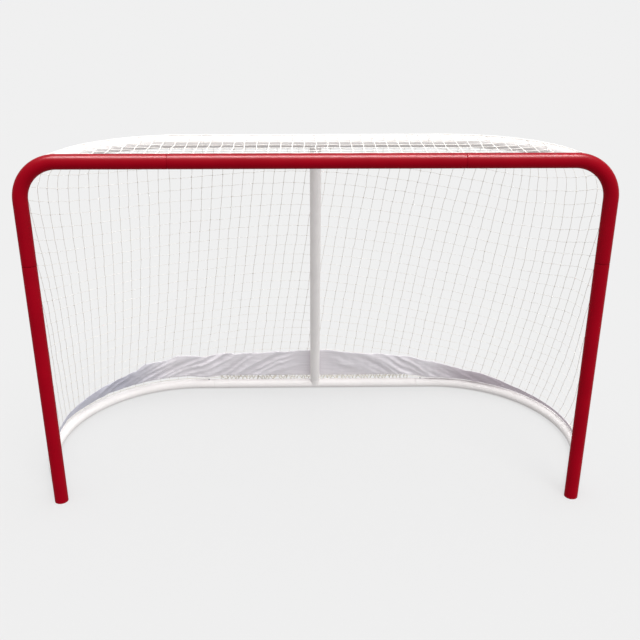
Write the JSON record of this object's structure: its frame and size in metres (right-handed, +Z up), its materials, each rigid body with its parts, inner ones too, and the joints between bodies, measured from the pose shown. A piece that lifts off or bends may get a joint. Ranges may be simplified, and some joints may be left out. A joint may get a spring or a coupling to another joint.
{
  "type": "street hockey goal",
  "caption": "Free-standing street hockey goal: bent steel tubes plugged together with snap buttons, a net laced over two rear rails, and a cloth skirt along the base rail.",
  "frame": {"origin": "on the floor, in the middle of the goal's plan", "axes": "the mouth faces -Y, +X runs along the crossbar to the goal's right as seen from the front, +Z is up"},
  "size_m": [2.1512, 0.9644, 1.2673],
  "materials": {
    "red_paint": "glossy powder coat",
    "white_paint": "satin powder coat",
    "plug_plastic": "matt moulded",
    "net_cord": "braided twine",
    "lacing_cord": "braided cord",
    "skirt_cloth": "woven cloth",
    "zinc_plate": "zinc plated",
    "spring_steel": "tempered spring steel"
  },
  "bodies": {
    "frame": {"crossbar": "red_paint", "corner_left": "red_paint", "corner_right": "red_paint", "post_left": "red_paint", "post_right": "red_paint", "base_rail_left": "white_paint", "base_rail_middle": "white_paint", "base_rail_right": "white_paint", "top_rail_left": "white_paint", "top_rail_middle": "white_paint", "top_rail_right": "white_paint", "centre_post": "white_paint", "foot_plug_left": "plug_plastic", "foot_plug_right": "plug_plastic", "net_back": "net_cord", "net_corner_left": "net_cord", "net_corner_right": "net_cord", "net_quarter_left": "net_cord", "net_quarter_right": "net_cord", "net_side_left": "net_cord", "net_side_right": "net_cord", "net_edge_left": "net_cord", "net_edge_right": "net_cord", "net_top": "net_cord", "base_lacing": "lacing_cord", "skirt": "skirt_cloth", "leaf_crossbar_left": "spring_steel", "leaf_post_left": "spring_steel", "leaf_base_front_left": "spring_steel", "leaf_base_middle_left": "spring_steel", "leaf_top_front_left": "spring_steel", "leaf_top_middle_left": "spring_steel", "leaf_crossbar_right": "spring_steel", "leaf_post_right": "spring_steel", "leaf_base_front_right": "spring_steel", "leaf_base_middle_right": "spring_steel", "leaf_top_front_right": "spring_steel", "leaf_top_middle_right": "spring_steel", "leaf_centre_post_foot": "spring_steel", "leaf_centre_post_head": "spring_steel"},
    "button_crossbar_left": {"button_crossbar_left": "zinc_plate"},
    "button_post_left": {"button_post_left": "zinc_plate"},
    "button_base_front_left": {"button_base_front_left": "zinc_plate"},
    "button_base_middle_left": {"button_base_middle_left": "zinc_plate"},
    "button_top_front_left": {"button_top_front_left": "zinc_plate"},
    "button_top_middle_left": {"button_top_middle_left": "zinc_plate"},
    "button_crossbar_right": {"button_crossbar_right": "zinc_plate"},
    "button_post_right": {"button_post_right": "zinc_plate"},
    "button_base_front_right": {"button_base_front_right": "zinc_plate"},
    "button_base_middle_right": {"button_base_middle_right": "zinc_plate"},
    "button_top_front_right": {"button_top_front_right": "zinc_plate"},
    "button_top_middle_right": {"button_top_middle_right": "zinc_plate"},
    "button_centre_post_foot": {"button_centre_post_foot": "zinc_plate"},
    "button_centre_post_head": {"button_centre_post_head": "zinc_plate"}
  },
  "joints": [
    {"name": "press_crossbar_left", "type": "slide", "parent": "frame", "child": "button_crossbar_left", "axis": [0, -1, 0], "range_m": [0, 0.0045], "stiffness_N_per_m": 1500, "springref_m": -0.001, "deforming": ["leaf_crossbar_left"]},
    {"name": "press_post_left", "type": "slide", "parent": "frame", "child": "button_post_left", "axis": [0, -1, 0], "range_m": [0, 0.0045], "stiffness_N_per_m": 1500, "springref_m": -0.001, "deforming": ["leaf_post_left"]},
    {"name": "press_base_front_left", "type": "slide", "parent": "frame", "child": "button_base_front_left", "axis": [0, 0, -1], "range_m": [0, 0.0045], "stiffness_N_per_m": 1500, "springref_m": -0.001, "deforming": ["leaf_base_front_left"]},
    {"name": "press_base_middle_left", "type": "slide", "parent": "frame", "child": "button_base_middle_left", "axis": [0, 0, -1], "range_m": [0, 0.0045], "stiffness_N_per_m": 1500, "springref_m": -0.001, "deforming": ["leaf_base_middle_left"]},
    {"name": "press_top_front_left", "type": "slide", "parent": "frame", "child": "button_top_front_left", "axis": [0, 0, 1], "range_m": [0, 0.0045], "stiffness_N_per_m": 1500, "springref_m": -0.001, "deforming": ["leaf_top_front_left"]},
    {"name": "press_top_middle_left", "type": "slide", "parent": "frame", "child": "button_top_middle_left", "axis": [0, 0, 1], "range_m": [0, 0.0045], "stiffness_N_per_m": 1500, "springref_m": -0.001, "deforming": ["leaf_top_middle_left"]},
    {"name": "press_crossbar_right", "type": "slide", "parent": "frame", "child": "button_crossbar_right", "axis": [0, -1, 0], "range_m": [0, 0.0045], "stiffness_N_per_m": 1500, "springref_m": -0.001, "deforming": ["leaf_crossbar_right"]},
    {"name": "press_post_right", "type": "slide", "parent": "frame", "child": "button_post_right", "axis": [0, -1, 0], "range_m": [0, 0.0045], "stiffness_N_per_m": 1500, "springref_m": -0.001, "deforming": ["leaf_post_right"]},
    {"name": "press_base_front_right", "type": "slide", "parent": "frame", "child": "button_base_front_right", "axis": [0, 0, -1], "range_m": [0, 0.0045], "stiffness_N_per_m": 1500, "springref_m": -0.001, "deforming": ["leaf_base_front_right"]},
    {"name": "press_base_middle_right", "type": "slide", "parent": "frame", "child": "button_base_middle_right", "axis": [0, 0, -1], "range_m": [0, 0.0045], "stiffness_N_per_m": 1500, "springref_m": -0.001, "deforming": ["leaf_base_middle_right"]},
    {"name": "press_top_front_right", "type": "slide", "parent": "frame", "child": "button_top_front_right", "axis": [0, 0, 1], "range_m": [0, 0.0045], "stiffness_N_per_m": 1500, "springref_m": -0.001, "deforming": ["leaf_top_front_right"]},
    {"name": "press_top_middle_right", "type": "slide", "parent": "frame", "child": "button_top_middle_right", "axis": [0, 0, 1], "range_m": [0, 0.0045], "stiffness_N_per_m": 1500, "springref_m": -0.001, "deforming": ["leaf_top_middle_right"]},
    {"name": "press_centre_post_foot", "type": "slide", "parent": "frame", "child": "button_centre_post_foot", "axis": [0, -0.9219, -0.3873], "range_m": [0, 0.0045], "stiffness_N_per_m": 1500, "springref_m": -0.001, "deforming": ["leaf_centre_post_foot"]},
    {"name": "press_centre_post_head", "type": "slide", "parent": "frame", "child": "button_centre_post_head", "axis": [0, -0.9219, -0.3873], "range_m": [0, 0.0045], "stiffness_N_per_m": 1500, "springref_m": -0.001, "deforming": ["leaf_centre_post_head"]}
  ]
}
